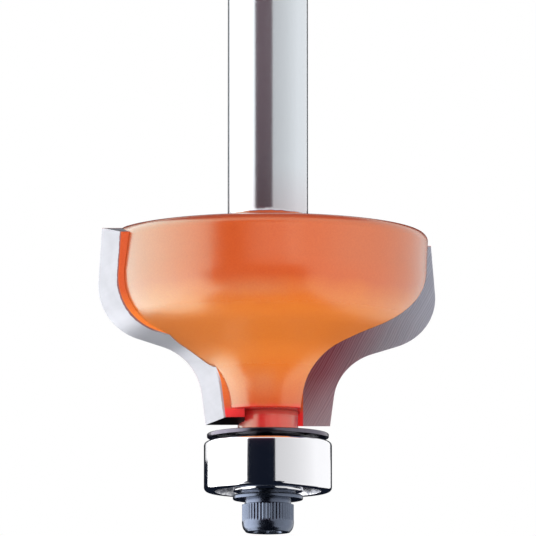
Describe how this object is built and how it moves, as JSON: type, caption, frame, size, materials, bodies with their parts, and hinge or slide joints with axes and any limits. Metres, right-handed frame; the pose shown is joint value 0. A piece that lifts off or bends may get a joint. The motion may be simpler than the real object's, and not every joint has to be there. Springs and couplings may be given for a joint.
{
  "type": "router bit",
  "caption": "Ogee router bit: turned shank and coated head, brazed sheared cutting tips with chip gullets, and a free-turning guide bearing held under the head by a cap screw.",
  "frame": {"origin": "on the axis of the shank, at the lowest line that a collet may grip, 3 mm above the head", "axes": "+Z along the axis from the cutting head to the shank's free end; +X towards the first cutting edge"},
  "size_m": [0.0334, 0.0322, 0.0631],
  "materials": {
    "coated_steel": "glossy orange coat on the head, bare ground steel on the shank",
    "ground_carbide": "ground",
    "bearing_steel": "polished",
    "cage_steel": "pressed sheet",
    "blued_steel": "black oxide, oiled"
  },
  "bodies": {
    "cutter": {"cutter_body": "coated_steel", "carbide_tip_1": "ground_carbide", "carbide_tip_2": "ground_carbide", "dust_shield": "blued_steel", "bearing_inner_ring": "bearing_steel", "retaining_washer": "blued_steel", "cap_screw": "blued_steel"},
    "outer_ring": {"bearing_outer_ring": "bearing_steel"},
    "cage": {"cage_upper": "cage_steel", "cage_lower": "cage_steel", "cage_rivets": "cage_steel"},
    "ball_1": {"bearing_ball_1": "bearing_steel"},
    "ball_2": {"bearing_ball_2": "bearing_steel"},
    "ball_3": {"bearing_ball_3": "bearing_steel"},
    "ball_4": {"bearing_ball_4": "bearing_steel"},
    "ball_5": {"bearing_ball_5": "bearing_steel"},
    "ball_6": {"bearing_ball_6": "bearing_steel"},
    "ball_7": {"bearing_ball_7": "bearing_steel"}
  },
  "joints": [
    {"name": "outer_ring_spin", "type": "hinge", "parent": "cutter", "child": "outer_ring", "pos_m": [0, 0, -0.02762], "axis": [0, 0, 1], "continuous": true},
    {"name": "cage_spin", "type": "hinge", "parent": "cutter", "child": "cage", "pos_m": [0, 0, -0.02762], "axis": [0, 0, 1], "continuous": true},
    {"name": "ball_1_spin", "type": "hinge", "parent": "cage", "child": "ball_1", "pos_m": [0.00436, 0, -0.02762], "axis": [0, 0, 1], "continuous": true},
    {"name": "ball_2_spin", "type": "hinge", "parent": "cage", "child": "ball_2", "pos_m": [0.00272, 0.00341, -0.02762], "axis": [0, 0, 1], "continuous": true},
    {"name": "ball_3_spin", "type": "hinge", "parent": "cage", "child": "ball_3", "pos_m": [-0.00097, 0.00426, -0.02762], "axis": [0, 0, 1], "continuous": true},
    {"name": "ball_4_spin", "type": "hinge", "parent": "cage", "child": "ball_4", "pos_m": [-0.00393, 0.00189, -0.02762], "axis": [0, 0, 1], "continuous": true},
    {"name": "ball_5_spin", "type": "hinge", "parent": "cage", "child": "ball_5", "pos_m": [-0.00393, -0.00189, -0.02762], "axis": [0, 0, 1], "continuous": true},
    {"name": "ball_6_spin", "type": "hinge", "parent": "cage", "child": "ball_6", "pos_m": [-0.00097, -0.00426, -0.02762], "axis": [0, 0, 1], "continuous": true},
    {"name": "ball_7_spin", "type": "hinge", "parent": "cage", "child": "ball_7", "pos_m": [0.00272, -0.00341, -0.02762], "axis": [0, 0, 1], "continuous": true}
  ],
  "couplings": [
    {"joint": "cage_spin", "follows": "outer_ring_spin", "ratio": 0.63638},
    {"joint": "ball_1_spin", "follows": "outer_ring_spin", "ratio": 1.6968},
    {"joint": "ball_2_spin", "follows": "outer_ring_spin", "ratio": 1.6968},
    {"joint": "ball_3_spin", "follows": "outer_ring_spin", "ratio": 1.6968},
    {"joint": "ball_4_spin", "follows": "outer_ring_spin", "ratio": 1.6968},
    {"joint": "ball_5_spin", "follows": "outer_ring_spin", "ratio": 1.6968},
    {"joint": "ball_6_spin", "follows": "outer_ring_spin", "ratio": 1.6968},
    {"joint": "ball_7_spin", "follows": "outer_ring_spin", "ratio": 1.6968}
  ]
}
